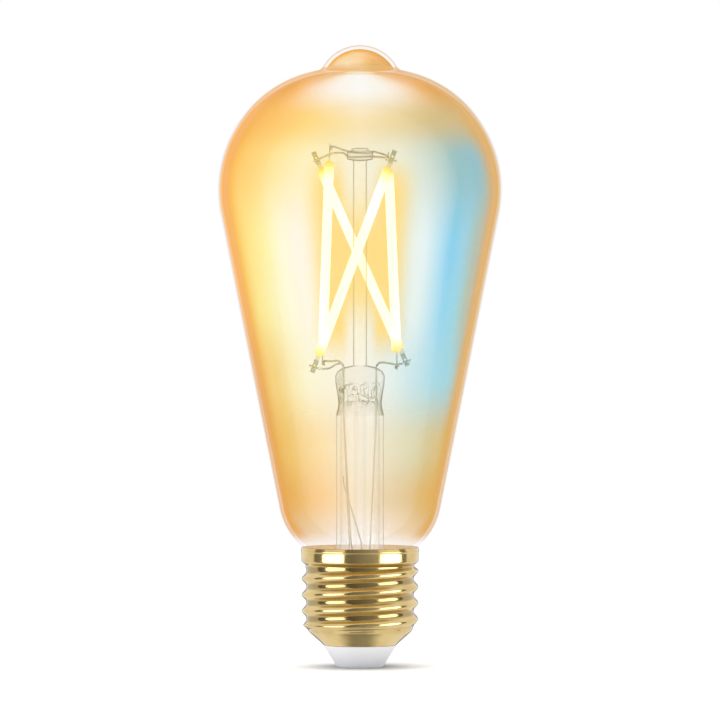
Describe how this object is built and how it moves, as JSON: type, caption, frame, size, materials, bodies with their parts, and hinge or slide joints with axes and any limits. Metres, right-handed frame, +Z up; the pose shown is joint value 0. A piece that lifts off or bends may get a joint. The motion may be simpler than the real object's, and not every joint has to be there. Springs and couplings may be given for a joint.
{
  "type": "led filament light bulb",
  "caption": "Tall tapered bulb with a round crown and tip, clear amber glass, crossed light strips on a glass stem and a threaded brass screw cap.",
  "frame": {"origin": "centre of the flat contact end, the lowest point of the bulb", "axes": "+Z up the bulb's axis to the glass tip; -Y is the side from which the filaments show as an N with a crossed diagonal; +X to the right of that view"},
  "size_m": [0.064, 0.064, 0.14],
  "materials": {
    "amber_glass": "clear blown glass with a thin amber film inside",
    "stem_glass": "clear lead-free stem glass",
    "wire": "nickel-plated lead wire",
    "strip_ceramic": "matt white ceramic strip",
    "phosphor": "silicone with phosphor, lit",
    "led_chip": "blue light-emitting chip",
    "tab_metal": "stamped nickel tab",
    "brass": "rolled brass-finished shell, bright",
    "insulator": "smooth white insulator",
    "contact_brass": "plain pressed brass",
    "cement": "matt basing cement",
    "sleeve": "white insulating sleeve",
    "board": "green solder-resist on glass fibre",
    "radio_board": "dark green solder-resist",
    "solder": "bright solder",
    "shield": "tinned sheet-metal can",
    "capacitor_can": "dark printed-free sleeve on an aluminium can",
    "ferrite": "dark grey ferrite",
    "copper_coil": "lacquered copper wire",
    "chip_black": "black moulded package",
    "film_capacitor": "dipped red-brown resin",
    "fuse_resistor": "blue-grey painted body"
  },
  "bodies": {
    "root": {"glass_envelope": "amber_glass", "glass_stem": "stem_glass", "exhaust_tube": "stem_glass", "centre_rod": "stem_glass", "rod_button": "stem_glass", "lead_warm": "wire", "lead_cool": "wire", "lead_common": "wire", "bridge_wire_warm": "wire", "bridge_wire_cool": "wire", "antenna_wire": "wire", "shell_wire": "wire", "filament_1_strip": "strip_ceramic", "filament_1_coat": "phosphor", "filament_1_chips": "led_chip", "filament_1_tabs": "tab_metal", "filament_2_strip": "strip_ceramic", "filament_2_coat": "phosphor", "filament_2_chips": "led_chip", "filament_2_tabs": "tab_metal", "filament_3_strip": "strip_ceramic", "filament_3_coat": "phosphor", "filament_3_chips": "led_chip", "filament_3_tabs": "tab_metal", "filament_4_strip": "strip_ceramic", "filament_4_coat": "phosphor", "filament_4_chips": "led_chip", "filament_4_tabs": "tab_metal", "screw_shell": "brass", "insulator": "insulator", "centre_contact": "contact_brass", "neck_cement": "cement", "driver_sleeve": "sleeve", "driver_board": "board", "solder_pads": "solder", "wifi_board": "radio_board", "wifi_shield": "shield", "smoothing_capacitor": "capacitor_can", "inductor_core": "ferrite", "inductor_coil": "copper_coil", "bridge_rectifier": "chip_black", "driver_chip": "chip_black", "dimming_transistors": "chip_black", "film_capacitor": "film_capacitor", "fuse_resistor": "fuse_resistor"}
  },
  "joints": []
}
